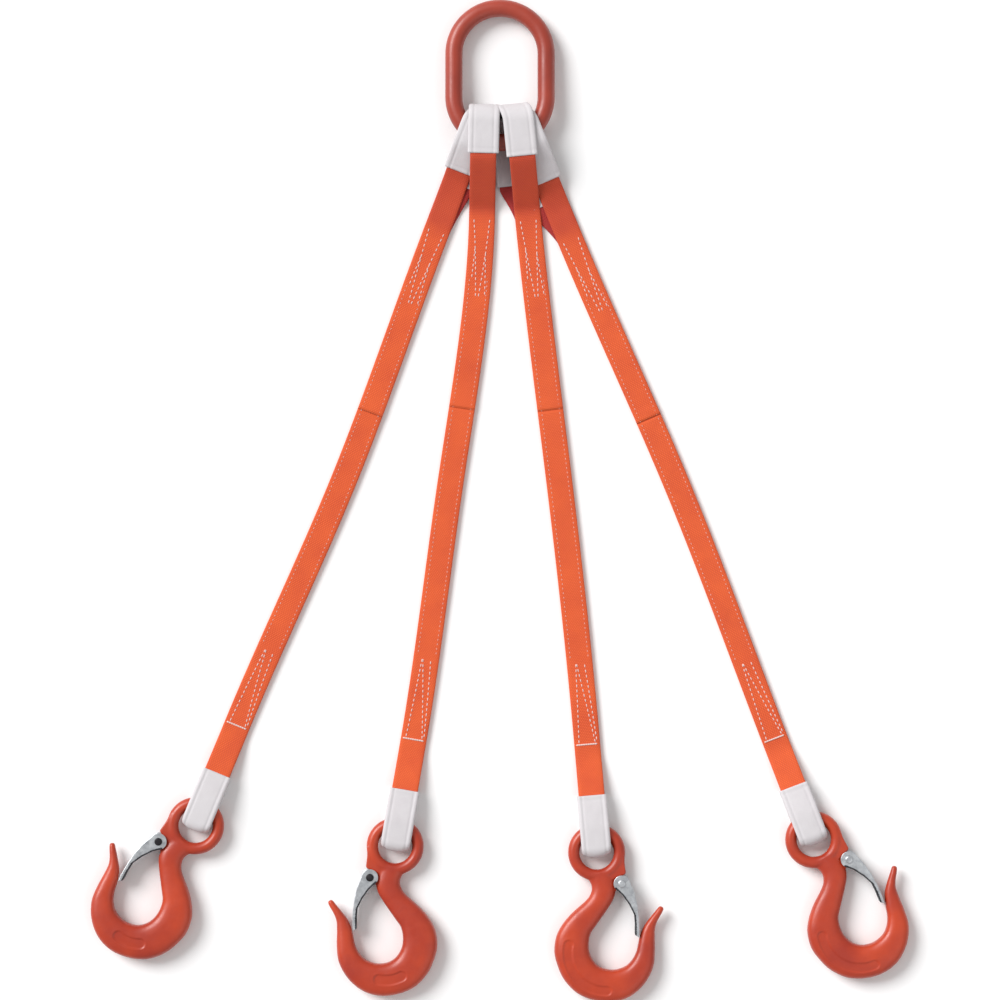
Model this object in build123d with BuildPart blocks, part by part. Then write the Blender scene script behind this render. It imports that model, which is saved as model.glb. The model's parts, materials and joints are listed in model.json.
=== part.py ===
"""Four-leg flat web sling set laid flat: master link, sewn belts, sleeved eyes and latch hooks.

Frame: millimetres, +X right, +Y towards the master link, +Z up, the table at z = 0.
Directions in the table plane are degrees from -Y, positive towards +X.
"""
from math import asin, atan2, cos, degrees, hypot, radians, sin
import os

from build123d import *

os.makedirs("parts", exist_ok=True)

# ---- driving dimensions ------------------------------------------------------------------
CENTRE_X, CENTRE_Y = 0.18, 0.78  # moves the whole set so that its box is centred

WEB_W = 25.0  # belt width
WEB_T = 2.2  # one ply
SLEEVE_W = 28.4
SLEEVE_WALL = 0.7
SLEEVE_GAP = 0.1  # between a sleeve skin and the belt inside it
SLEEVED_T = WEB_T + 2 * (SLEEVE_WALL + SLEEVE_GAP)
SEWN_T = 2 * WEB_T
FOLD_GAP = 0.3  # between a sewn end and the eye that folds against it

LINK_BAR = 16.5
LINK_INSIDE_W = 72.0
LINK_LENGTH = 146.8
LINK_END_R = (LINK_INSIDE_W + LINK_BAR) / 2  # centreline of the round ends
LINK_STRAIGHT = LINK_LENGTH - LINK_BAR - 2 * LINK_END_R
LINK_BASE = (0.0, 342.4)  # bar centre inside the eyes

INNER_HALF = 9.7  # half the free height inside the eyes next to the bar
INNER_OUTER = INNER_HALF + SLEEVED_T
OUTER_HALF = INNER_OUTER + 0.3  # the second pair of eyes goes round the first pair
BUNDLE_Z = OUTER_HALF + SLEEVED_T  # mid height of the nested eyes
LINK_Z = BUNDLE_Z + 1.0
LINK_TILT = degrees(asin((LINK_Z - LINK_BAR / 2) / (LINK_LENGTH - LINK_BAR)))

HOOK_Z = 10.0  # mid plane of a hook lying on the table
RING_R = 21.9  # centreline radius of the hook eye
RING_BAR = 11.3
LOWER_HALF = RING_BAR / 2 + 0.5
LOWER_EYE = 102.5  # lower fold line to hook eye centre
FOLD_PAST = 4.8  # the lower eye ends this far past the hook eye centre

PIN_AT = (-18.7, -33.1)
PIN_D = 4.6
PIN_HEAD_D = 7.4
PIN_HEAD_T = 1.0
LUG_R = 5.6
LUG_T = 6.4
LATCH_T = 1.6
LATCH_W = 14.6
LATCH_EAR_R = 8.0
PIN_PLAY = 0.05
HEAD_GAP = 0.3
LOBE_T = 9.0
LOBE = [(-26.4, -4.0), (-24.8, -14.0), (-24.2, -25.0), (-9.0, -28.0), (-9.0, -19.0), (-17.0, -9.0)]
SPRING_WIRE = 1.0
SPRING_ARM = 20.0

SEAM_OUT, SEAM_W, SEAM_T = 9.6, 1.4, 0.4
SEAM_MARGIN = 4.0

# upper fold line, middle and lower fold line of each leg, and its upper and lower direction
LEGS = {
    1: ((-60.0, 261.1), (-151.7, 15.4), (-253.4, -217.9), -21.0, -22.3),
    2: ((-17.3, 272.6), (-47.8, 15.4), (-83.2, -231.4), -1.3, -9.8),
    3: ((26.9, 271.7), (57.3, 15.4), (84.0, -236.2), 5.7, 4.9),
    4: ((66.9, 252.5), (169.9, 15.4), (264.5, -230.4), 22.5, 21.0),
}
UPPER_EYE = {1: 117.0, 2: 106.8, 3: 108.8, 4: 128.4}  # fold line to eye end
INNER_EYES = (1, 4)  # next to the bar, inside eyes 2 and 3
UPPER_SLEEVE = {1: 58.5, 2: 49.5, 3: 52.0, 4: 71.0}  # eye end to the sleeve's edge
LOWER_SLEEVE = 60.0
HOOK_TURN = {1: -37.9, 2: -9.9, 3: 9.8, 4: 31.5}
TURNED_OVER = (3, 4)

# hook stations: inner edge, outer edge, thickness and squareness of the section
STATIONS = [
    ((-13.4, -18.2), (14.4, -18.2), 10.6, 2.2),
    ((-12.0, -24.0), (12.0, -25.0), 12.0, 2.2),
    ((-12.0, -29.8), (10.4, -29.8), 13.0, 2.3),
    ((-12.3, -35.5), (11.0, -35.0), 13.6, 2.4),
    ((-11.0, -41.8), (13.9, -40.1), 14.2, 2.4),
    ((-7.7, -48.0), (17.3, -43.2), 14.6, 2.4),
    ((0.0, -56.6), (21.6, -46.1), 15.2, 2.4),
    ((5.8, -62.4), (28.8, -50.4), 16.2, 2.6),
    ((12.5, -69.1), (36.5, -55.7), 17.4, 2.8),
    ((18.2, -74.9), (44.6, -62.9), 18.6, 2.9),
    ((21.4, -81.6), (51.8, -72.5), 19.5, 3.0),
    ((23.0, -90.2), (56.3, -86.4), 20.0, 3.0),
    ((22.1, -97.9), (55.7, -99.8), 20.0, 3.0),
    ((18.7, -105.1), (50.4, -114.7), 20.0, 3.0),
    ((13.0, -110.4), (41.3, -130.1), 20.0, 3.0),
    ((4.8, -113.5), (25.9, -139.7), 20.0, 3.0),
    ((-2.9, -113.6), (8.6, -144.0), 19.6, 3.0),
    ((-10.6, -111.4), (-8.6, -141.4), 18.8, 2.9),
    ((-17.3, -105.9), (-24.0, -131.8), 17.6, 2.8),
    ((-21.9, -98.9), (-34.6, -118.1), 16.0, 2.6),
    ((-24.5, -92.2), (-38.9, -103.7), 14.4, 2.4),
    ((-27.2, -85.7), (-41.0, -90.7), 12.6, 2.3),
    ((-31.7, -78.2), (-43.2, -80.6), 10.8, 2.2),
    ((-38.4, -71.5), (-46.8, -74.2), 9.0, 2.2),
    ((-45.6, -65.3), (-51.2, -68.9), 7.4, 2.2),
    ((-50.9, -61.9), (-53.9, -64.6), 4.6, 2.2),
]
LOFT_RUNS = [(0, 15), (15, 18), (18, 21), (21, 25)]  # first and last station of each run
BOWL_CENTRE = (7.7, -95.5)
PANEL_R, PANEL_W, PANEL_DEPTH = 36.5, 9.6, 0.8
PAD_R, PAD_W = 32.2, 10.6

# latch outline: outer edge from the ear down to the tip, then the inner edge back up
LATCH_OUTER = [
    (-25.4, -29.0), (-27.6, -37.0), (-29.2, -45.0),
    (-29.8, -56.0), (-29.2, -68.0), (-27.6, -80.0),
]
LATCH_TIP = (-26.0, -86.6)
LATCH_INNER = [
    (-22.8, -83.6), (-24.6, -74.0), (-25.4, -65.0),
    (-22.2, -54.0), (-17.4, -44.0), (-12.2, -37.0),
]


# ---- helpers -----------------------------------------------------------------------------
def heading(angle):
    """Unit vector in the table plane, angle from -Y towards +X."""
    return Vector(sin(radians(angle)), -cos(radians(angle)), 0)


def upright(point, angle):
    """Upright plane through a point: x runs along the heading, y is up."""
    along = heading(angle)
    return Plane(origin=(point[0], point[1], 0), x_dir=along, z_dir=along.cross(Vector(0, 0, 1)))


def ribbon(points, thickness):
    """Closed outline of a strip of even thickness along an open polyline."""
    sides = ([], [])
    for i, (x, y) in enumerate(points):
        before = points[max(i - 1, 0)]
        after = points[min(i + 1, len(points) - 1)]
        angles = [atan2(y - before[1], x - before[0]), atan2(after[1] - y, after[0] - x)]
        if i == 0:
            angles[0] = angles[1]
        if i == len(points) - 1:
            angles[1] = angles[0]
        middle = (angles[0] + angles[1]) / 2
        reach = thickness / 2 / cos((angles[1] - angles[0]) / 2)
        sides[0].append((x - reach * sin(middle), y + reach * cos(middle)))
        sides[1].append((x + reach * sin(middle), y - reach * cos(middle)))
    return sides[0] + sides[1][::-1]


def eye_outline(lower, upper, end, thickness):
    """Side view of a folded belt: a lower and an upper strip joined by a round end."""
    half = (upper[-1][1] - lower[-1][1]) / 2
    middle = (upper[-1][1] + lower[-1][1]) / 2
    turn = end - half - SLEEVED_T / 2
    reach = half + thickness
    with Locations((turn, middle)):
        Circle(half + thickness / 2)
        Circle(half - thickness / 2, mode=Mode.SUBTRACT)
        Rectangle(reach, 2 * reach, align=(Align.MAX, Align.CENTER), mode=Mode.SUBTRACT)
    for run in (lower, upper):
        Polygon(*ribbon(run + [(turn, run[-1][1])], thickness), align=None)


def cut_back(run, start):
    """The part of an open polyline beyond a distance from the fold line."""
    for i in range(len(run) - 1):
        (x0, y0), (x1, y1) = run[i : i + 2]
        if x0 <= start < x1:
            return [(start, y0 + (y1 - y0) * (start - x0) / (x1 - x0))] + run[i + 1 :]
    return [(start, run[-1][1])]


def finish(part, name):
    """Name a solid after its node and write its file."""
    part.label = name
    export_step(part, f"parts/{name}.step")


# ---- master link -------------------------------------------------------------------------
def make_link():
    base = (LINK_BASE[0] + CENTRE_X, LINK_BASE[1] + CENTRE_Y, LINK_Z)
    tilted = Plane(base, x_dir=(1, 0, 0), z_dir=Vector(0, 0, 1).rotate(Axis.X, -LINK_TILT))
    low, high = LINK_END_R, LINK_END_R + LINK_STRAIGHT
    with BuildPart() as link:
        with BuildLine(tilted) as path:
            Line((LINK_END_R, low), (LINK_END_R, high))
            CenterArc((0, high), LINK_END_R, 0, 180)
            Line((-LINK_END_R, high), (-LINK_END_R, low))
            CenterArc((0, low), LINK_END_R, 180, 180)
        with BuildSketch(Plane(path.line @ 0, z_dir=path.line % 0)):
            Circle(LINK_BAR / 2)
        sweep(path=path.line)
    finish(link.part, "master_link")


# ---- eyes --------------------------------------------------------------------------------
def make_eye(name, point, angle, lower, upper, end, sleeve_start):
    """A folded belt end and the protective sleeve over it, both open at the sides."""
    side = upright(point, angle)
    with BuildPart() as web:
        with BuildSketch(side.offset(-WEB_W / 2)):
            eye_outline(lower, upper, end, WEB_T)
        extrude(amount=WEB_W)
    finish(web.part, f"{name}_webbing")
    covered = [cut_back(run, sleeve_start) for run in (lower, upper)]
    cavity = [cut_back(run, sleeve_start - 5) for run in (lower, upper)]
    with BuildPart() as sleeve:
        with BuildSketch(side.offset(-SLEEVE_W / 2)):
            eye_outline(*covered, end, SLEEVED_T)
        extrude(amount=SLEEVE_W)
        hollow_w = WEB_W + 2 * SLEEVE_GAP
        with BuildSketch(side.offset(-hollow_w / 2)):
            eye_outline(*cavity, end, WEB_T + 2 * SLEEVE_GAP)
        extrude(amount=hollow_w, mode=Mode.SUBTRACT)
    finish(sleeve.part, f"{name.replace('_eye', '')}_sleeve")


def make_upper_eye(leg, point, angle):
    start = SEWN_T / 2 + FOLD_GAP
    inner = leg in INNER_EYES
    half = (INNER_HALF if inner else OUTER_HALF) + SLEEVED_T / 2
    low, high = BUNDLE_Z - half, BUNDLE_Z + half
    lower, upper = [(start, WEB_T / 2)], [(start, 1.5 * WEB_T)]
    if inner:
        lower += [(26, WEB_T / 2), (56, low)]
        upper += [(30, 1.5 * WEB_T), (50, 7.6), (UPPER_EYE[leg] - 34, high)]
    else:
        lower += [(18, WEB_T / 2), (24, low)]
        upper += [(8, 1.5 * WEB_T), (54, high)]
    end = UPPER_EYE[leg]
    make_eye(f"leg_{leg}_upper_eye", point, angle + 180, lower, upper, end, end - UPPER_SLEEVE[leg])


def make_lower_eye(leg, point, angle):
    start = SEWN_T / 2 + FOLD_GAP
    half = LOWER_HALF + SLEEVED_T / 2
    lower = [(start, WEB_T / 2), (12, WEB_T / 2), (20, HOOK_Z - half)]
    upper = [(start, 1.5 * WEB_T), (10, 1.5 * WEB_T), (LOWER_EYE - 26, HOOK_Z + half)]
    end = LOWER_EYE + FOLD_PAST
    make_eye(f"leg_{leg}_lower_eye", point, angle, lower, upper, end, end - LOWER_SLEEVE)


# ---- sewn belts --------------------------------------------------------------------------
def strap_outline(centre, half, margin):
    """Closed outline of a strip along a curved centreline, short of both ends by the margin."""
    ends = margin / centre.length
    steps = [ends + (1 - 2 * ends) * i / 12 for i in range(13)]
    sides = []
    for reach in (half, -half):
        sides.append([centre @ t + (centre % t).cross(Vector(0, 0, 1)) * reach for t in steps])
    Spline(*sides[0])
    Line(sides[0][-1], sides[1][-1])
    Spline(*sides[1])
    Line(sides[1][0], sides[0][0])


def make_belt(leg, top, middle, bottom, upper_angle, lower_angle):
    tangents = (heading(upper_angle), heading(lower_angle))
    centre = Edge.make_spline([Vector(*top), Vector(*middle), Vector(*bottom)], tangents)
    with BuildPart() as belt:
        with BuildSketch():
            with BuildLine():
                strap_outline(centre, WEB_W / 2, 0)
            make_face()
        extrude(amount=SEWN_T)
        for point, angle in ((top, upper_angle), (bottom, lower_angle)):
            with BuildSketch(upright(point, angle)):
                with Locations((0, SEWN_T / 2)):
                    Circle(SEWN_T / 2)
            extrude(amount=WEB_W / 2, both=True)
    finish(belt.part, f"leg_{leg}_sewn_webbing")
    with BuildPart() as seam:
        with BuildSketch(Plane.XY.offset(SEWN_T)):
            with BuildLine():
                strap_outline(centre, SEAM_OUT, SEAM_MARGIN)
            make_face()
            with BuildLine():
                strap_outline(centre, SEAM_OUT - SEAM_W, SEAM_MARGIN + SEAM_W)
            make_face(mode=Mode.SUBTRACT)
        extrude(amount=SEAM_T)
    finish(seam.part, f"leg_{leg}_seam_thread")


# ---- hooks -------------------------------------------------------------------------------
def station_plane(i):
    """Section plane of a hook station: x from the inner edge to the outer edge."""
    inner, outer = Vector(*STATIONS[i][0]), Vector(*STATIONS[i][1])
    across = outer - inner
    return Plane((inner + outer) / 2, x_dir=across, z_dir=across.cross(Vector(0, 0, 1)))


def station_outline(i):
    """Closed curve between a rounded and a squarish section."""
    inner, outer, thick, square = STATIONS[i]
    deep = hypot(outer[0] - inner[0], outer[1] - inner[1])
    points = []
    for k in range(16):
        c, s = cos(k * radians(22.5)), sin(k * radians(22.5))
        x = deep / 2 * abs(c) ** (2 / square) * (1 if c > 0 else -1)
        y = thick / 2 * abs(s) ** (2 / square) * (1 if s > 0 else -1)
        points.append((x, y))
    Spline(*points, periodic=True)


def arc_slot(radius, width, start, sweep_angle):
    """Sunk panel that follows the bowl of the hook."""
    with Locations(BOWL_CENTRE):
        SlotArc(CenterArc((0, 0), radius, start, sweep_angle), width)


def build_hook():
    with BuildPart() as hook:
        for first, last in LOFT_RUNS:
            for i in range(first, last + 1):
                with BuildSketch(station_plane(i)):
                    with BuildLine():
                        station_outline(i)
                    make_face()
            loft()
        Torus(RING_R, RING_BAR / 2)
        with BuildSketch(Plane.XY.offset(-LOBE_T / 2)):
            with BuildLine():
                Polyline(*LOBE, close=True)
            make_face()
        extrude(amount=LOBE_T)
        with BuildSketch(Plane.XY.offset(-LUG_T / 2)):
            with Locations(PIN_AT):
                Circle(LUG_R)
                Rectangle(10, 2 * LUG_R, align=(Align.MIN, Align.CENTER))
                Rectangle(2 * LUG_R, 9, align=(Align.CENTER, Align.MIN))
        extrude(amount=LUG_T)
        with BuildSketch(Plane.XY.offset(STATIONS[12][2] / 2 - PANEL_DEPTH)):
            arc_slot(PAD_R, PAD_W, -92, 40)
        extrude(amount=3, mode=Mode.SUBTRACT)
        with BuildSketch(Plane.XY.offset(PANEL_DEPTH - STATIONS[12][2] / 2)):
            arc_slot(PANEL_R, PANEL_W, -82, 104)
        extrude(amount=-3, mode=Mode.SUBTRACT)
        with Locations((*PIN_AT, 0)):
            Cylinder(PIN_D / 2, 20, mode=Mode.SUBTRACT)
    return hook.part


def build_latch():
    with BuildPart() as latch:
        with BuildSketch(Plane.XY.offset(-LATCH_W / 2)):
            with BuildLine():
                Polyline(*LATCH_OUTER, LATCH_TIP, *LATCH_INNER, close=True)
            make_face()
            with Locations(PIN_AT):
                Circle(LATCH_EAR_R)
        extrude(amount=LATCH_W)
        back = [(x + LATCH_T, y) for x, y in LATCH_OUTER[1:]]
        with BuildSketch(Plane.XY.offset(LATCH_T - LATCH_W / 2)):
            with BuildLine():
                Polyline((-40, -20), (-40, back[0][1]), *back, (0, back[-1][1]), (0, -20), close=True)
            make_face()
        extrude(amount=LATCH_W - 2 * LATCH_T, mode=Mode.SUBTRACT)
        with Locations((*PIN_AT, 0)):
            Cylinder(PIN_D / 2 + PIN_PLAY, 20, mode=Mode.SUBTRACT)
    return latch.part


def build_pin():
    with BuildPart() as pin:
        reach = LATCH_W / 2 + HEAD_GAP
        with Locations((*PIN_AT, 0)):
            Cylinder(PIN_D / 2, 2 * reach + PIN_HEAD_T)
        for side in (-1, 1):
            with Locations((*PIN_AT, side * (reach + PIN_HEAD_T / 2))):
                Cylinder(PIN_HEAD_D / 2, PIN_HEAD_T)
    return pin.part


def build_spring():
    inside = PIN_D / 2 + FOLD_GAP
    with BuildPart() as spring:
        with BuildSketch(Plane.XY.offset(LUG_T / 2 + FOLD_GAP)):
            with Locations(PIN_AT):
                Circle(inside + SPRING_WIRE)
                Circle(inside, mode=Mode.SUBTRACT)
        extrude(amount=2 * SPRING_WIRE)
        arm = (PIN_AT[0] - inside - SPRING_WIRE / 2, PIN_AT[1], LUG_T / 2 + FOLD_GAP + SPRING_WIRE / 2)
        with Locations(Location(arm, (0, 0, 3))):
            Box(SPRING_WIRE, SPRING_ARM, SPRING_WIRE, align=(Align.CENTER, Align.MAX, Align.CENTER))
    return spring.part


def place(part, name, ring, turn, over):
    """Copy a hook piece to its ring centre, turned over about its own length if asked."""
    spot = Location((ring.X, ring.Y, HOOK_Z), (0, 0, turn)) * Location((0, 0, 0), (0, over, 0))
    with BuildPart() as placed:
        with Locations(spot):
            add(part)
    finish(placed.part, name)


make_link()
pieces = {"body": build_hook(), "latch": build_latch(), "pin": build_pin(), "spring": build_spring()}
for leg, (top, middle, bottom, upper_angle, lower_angle) in LEGS.items():
    top, middle, bottom = ((x + CENTRE_X, y + CENTRE_Y) for x, y in (top, middle, bottom))
    make_upper_eye(leg, top, upper_angle)
    make_belt(leg, top, middle, bottom, upper_angle, lower_angle)
    make_lower_eye(leg, bottom, lower_angle)
    ring = Vector(*bottom) + heading(lower_angle) * LOWER_EYE
    for piece, part in pieces.items():
        place(part, f"hook_{leg}_{piece}", ring, HOOK_TURN[leg], 180 if leg in TURNED_OVER else 0)
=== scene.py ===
"""Four-leg web sling: materials, cloth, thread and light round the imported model.

The frame is metres, +Y towards the master link, the table at z = 0. Shape sizes are named in
millimetres and multiplied by MM where they are used.
"""
import json
from math import atan2, ceil, cos, exp, hypot, pi, radians, sin

import bmesh
import bpy
from mathutils import Matrix, Vector, noise


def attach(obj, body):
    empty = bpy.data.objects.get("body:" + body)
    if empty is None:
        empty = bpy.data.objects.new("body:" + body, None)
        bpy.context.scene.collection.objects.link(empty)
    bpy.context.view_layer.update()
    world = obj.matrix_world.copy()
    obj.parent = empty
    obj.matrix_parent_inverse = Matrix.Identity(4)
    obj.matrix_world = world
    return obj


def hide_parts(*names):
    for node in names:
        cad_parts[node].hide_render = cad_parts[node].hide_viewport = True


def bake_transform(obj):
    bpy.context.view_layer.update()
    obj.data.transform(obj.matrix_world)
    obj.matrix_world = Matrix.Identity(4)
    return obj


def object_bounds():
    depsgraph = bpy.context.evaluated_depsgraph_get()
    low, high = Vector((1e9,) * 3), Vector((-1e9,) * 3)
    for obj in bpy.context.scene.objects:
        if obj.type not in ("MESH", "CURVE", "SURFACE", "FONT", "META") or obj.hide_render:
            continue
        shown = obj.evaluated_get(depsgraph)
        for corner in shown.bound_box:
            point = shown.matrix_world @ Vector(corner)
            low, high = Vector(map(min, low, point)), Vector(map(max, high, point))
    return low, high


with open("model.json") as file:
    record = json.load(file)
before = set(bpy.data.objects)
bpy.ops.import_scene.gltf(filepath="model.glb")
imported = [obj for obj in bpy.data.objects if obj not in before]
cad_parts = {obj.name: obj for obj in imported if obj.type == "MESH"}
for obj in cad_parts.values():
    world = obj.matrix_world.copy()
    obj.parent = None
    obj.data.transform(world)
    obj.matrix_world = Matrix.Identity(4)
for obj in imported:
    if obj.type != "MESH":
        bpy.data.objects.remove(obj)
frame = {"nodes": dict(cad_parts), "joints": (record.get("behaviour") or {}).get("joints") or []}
CAD_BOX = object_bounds()
MM = 0.001
LEGS = (1, 2, 3, 4)
UP = Vector((0, 0, 1))

# ---- sizes shared with the model (mm) ----------------------------------------------------
WEB_W, WEB_T = 25.0, 2.2
SLEEVE_W, SLEEVED_T = 28.4, 3.8  # lower sleeve's width; thickness of web and sleeve together
BUNDLE_Z, INNER_HALF, OUTER_HALF = 17.6, 9.7, 13.8  # nested upper eyes: middle, half gaps
HOOK_Z, LOWER_HALF = 10.0, 6.15  # hooks' middle; half gap of a lower eye
LOWER_EYE_END, LOWER_SLEEVE = 107.3, 60.0  # fold to end of eye; covered length
# for each leg: fold to end of upper eye, its covered length, and the middle of the belt
UPPER_EYE = {1: 117.0, 2: 106.8, 3: 108.8, 4: 128.4}
UPPER_SLEEVE = {1: 58.5, 2: 49.5, 3: 52.0, 4: 71.0}
BELT_MIDDLE = {1: (-151.52, 16.18), 2: (-47.62, 16.18), 3: (57.48, 16.18), 4: (170.08, 16.18)}
INNER_EYES = (1, 4)  # legs whose upper eyes lie inside the other two
TURNED_OVER = (3, 4)  # legs whose hooks lie with the back up
# the hook in its own axes, with the centre of its ring at the origin
PIN_AT = (-18.7, -33.1)
PIN_D, PIN_HEAD_D, LATCH_W = 4.6, 7.4, 14.6
RING_R, RING_BAR = 21.9, 11.3
LOBE_T, LUG_T, LUG_R = 9.0, 6.4, 5.6  # lobe from ring to lug, and the latch's lug
LOBE = [(-26.4, -4.0), (-24.8, -14.0), (-24.2, -25.0), (-9.0, -28.0), (-9.0, -19.0), (-17.0, -9.0)]
BOWL_CENTRE = (7.7, -95.5)
PANEL_DEPTH = 0.8
PAD_SLOT = (32.2, 10.6, -92, 40)  # radius, width, first angle and sweep; front face
PANEL_SLOT = (36.5, 9.6, -82, 104)  # back face
# inner edge, outer edge, thickness and squareness of the hook's section, from shank to tip
STATIONS = [
    ((-13.4, -18.2), (14.4, -18.2), 10.6, 2.2),
    ((-12.0, -24.0), (12.0, -25.0), 12.0, 2.2),
    ((-12.0, -29.8), (10.4, -29.8), 13.0, 2.3),
    ((-12.3, -35.5), (11.0, -35.0), 13.6, 2.4),
    ((-11.0, -41.8), (13.9, -40.1), 14.2, 2.4),
    ((-7.7, -48.0), (17.3, -43.2), 14.6, 2.4),
    ((0.0, -56.6), (21.6, -46.1), 15.2, 2.4),
    ((5.8, -62.4), (28.8, -50.4), 16.2, 2.6),
    ((12.5, -69.1), (36.5, -55.7), 17.4, 2.8),
    ((18.2, -74.9), (44.6, -62.9), 18.6, 2.9),
    ((21.4, -81.6), (51.8, -72.5), 19.5, 3.0),
    ((23.0, -90.2), (56.3, -86.4), 20.0, 3.0),
    ((22.1, -97.9), (55.7, -99.8), 20.0, 3.0),
    ((18.7, -105.1), (51.6, -115.2), 20.0, 3.0),
    ((13.0, -110.4), (41.3, -130.1), 20.0, 3.0),
    ((4.8, -113.5), (25.9, -139.7), 20.0, 3.0),
    ((-2.9, -113.6), (8.6, -144.0), 19.6, 3.0),
    ((-10.6, -111.4), (-8.6, -141.4), 18.8, 2.9),
    ((-17.3, -105.9), (-24.0, -131.8), 17.6, 2.8),
    ((-21.9, -98.9), (-34.6, -118.1), 16.0, 2.6),
    ((-24.5, -92.2), (-38.9, -103.7), 14.4, 2.4),
    ((-27.2, -85.7), (-41.0, -90.7), 12.6, 2.3),
    ((-31.7, -78.2), (-43.2, -80.6), 10.8, 2.2),
    ((-38.4, -71.5), (-46.8, -74.2), 9.0, 2.2),
    ((-45.6, -65.3), (-51.2, -68.9), 7.4, 2.2),
    ((-50.0, -61.4), (-54.1, -65.1), 5.6, 2.2),
]

JOINTS = {j["name"]: j for j in frame["joints"]}


def joint_point(name):
    return Vector(JOINTS[name]["pos_m"])


def upper_heading(leg):
    """Direction of the belt as it leaves the upper fold."""
    axis = Vector(JOINTS[f"leg_{leg}_upper_fold"]["axis"])
    return Vector((-axis.y, axis.x, 0)).normalized()


def lower_heading(leg):
    """Direction of the belt as it reaches the lower fold."""
    axis = Vector(JOINTS[f"leg_{leg}_lower_fold"]["axis"])
    return Vector((axis.y, -axis.x, 0)).normalized()


# ---- mesh tools --------------------------------------------------------------------------
def new_object(name, data):
    """An object in the scene for a mesh, a light or a camera."""
    obj = bpy.data.objects.new(name, data)
    bpy.context.scene.collection.objects.link(obj)
    return obj


def smooth_faces(mesh):
    mesh.polygons.foreach_set("use_smooth", [True] * len(mesh.polygons))


def frames_along(points, across):
    """(point, across, up) at each point of a path; across is turned square to the path."""
    rows = []
    for i, point in enumerate(points):
        before, after = points[max(i - 1, 0)], points[min(i + 1, len(points) - 1)]
        tangent = (after - before).normalized()
        side = across[i] - across[i].dot(tangent) * tangent
        side.normalize()
        rows.append((point, side, side.cross(tangent)))
    return rows


def sweep(bm, rows, outline, uv=None, lengths=None, flip=False):
    """Skin a closed outline along the rows; returns the vertex rings."""
    rings = []
    for point, side, up in rows:
        rings.append([bm.verts.new(point + side * x + up * y) for x, y in outline])
    around = [0.0]
    for i in range(len(outline)):
        (x0, y0), (x1, y1) = outline[i], outline[(i + 1) % len(outline)]
        around.append(around[-1] + hypot(x1 - x0, y1 - y0))
    count = len(outline)
    for r in range(len(rows) - 1):
        for k in range(count):
            n = (k + 1) % count
            corners = [(r, k, k), (r, n, k + 1), (r + 1, n, k + 1), (r + 1, k, k)]
            if flip:
                corners.reverse()
            face = bm.faces.new([rings[i][j] for i, j, _ in corners])
            face.smooth = True
            if uv is not None:
                for loop, (i, _, j) in zip(face.loops, corners):
                    loop[uv].uv = (around[j], lengths[i])
    return rings


def skin(bm, rings):
    """Smooth faces between neighbouring rings of vertices."""
    for a, b in zip(rings, rings[1:]):
        for k in range(len(a)):
            n = (k + 1) % len(a)
            bm.faces.new([a[k], a[n], b[n], b[k]]).smooth = True


def cap(bm, rings):
    """Flat faces on the first and the last ring."""
    bm.faces.new(rings[0][::-1])
    bm.faces.new(rings[-1])


def face_out(bm):
    bmesh.ops.recalc_face_normals(bm, faces=bm.faces)


def as_mesh(bm, name, *materials):
    """The working mesh as a mesh of its own; the working mesh is freed."""
    mesh = bpy.data.meshes.new(name)
    bm.to_mesh(mesh)
    bm.free()
    for material in materials:
        mesh.materials.append(material)
    return mesh


def path_lengths(points):
    total, lengths = 0.0, [0.0]
    for before, after in zip(points, points[1:]):
        total += (after - before).length
        lengths.append(total)
    return lengths


EDGE_STEPS = 4  # steps round each edge of a band


def flat_outline(width, thickness, corner, belly=0.0, steps=8):
    """Closed outline of a flat band with rounded edges, thicker in the middle by belly."""
    half_w, half_t = width / 2, thickness / 2
    top = []
    for i in range(steps + 1):
        x = -half_w + corner + (width - 2 * corner) * i / steps
        lift = belly / 2 * (1 - (x / half_w) ** 2)
        top.append((x, half_t - belly / 2 + lift))
    edge = []
    for i in range(1, EDGE_STEPS):
        a = pi / 2 - pi * i / EDGE_STEPS
        edge.append((half_w - corner + corner * cos(a), (half_t - belly / 2) * sin(a)))
    right = top + edge
    left = [(-x, -y) for x, y in right]
    return [(x * MM, y * MM) for x, y in right + left][::-1]


# ---- paths of the belts ------------------------------------------------------------------
STEP = 1.5  # distance between the points of an eye's path; the belt's rows are twice as far
CORNER_EASE = 14  # passes that ease the corners of a path


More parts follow.
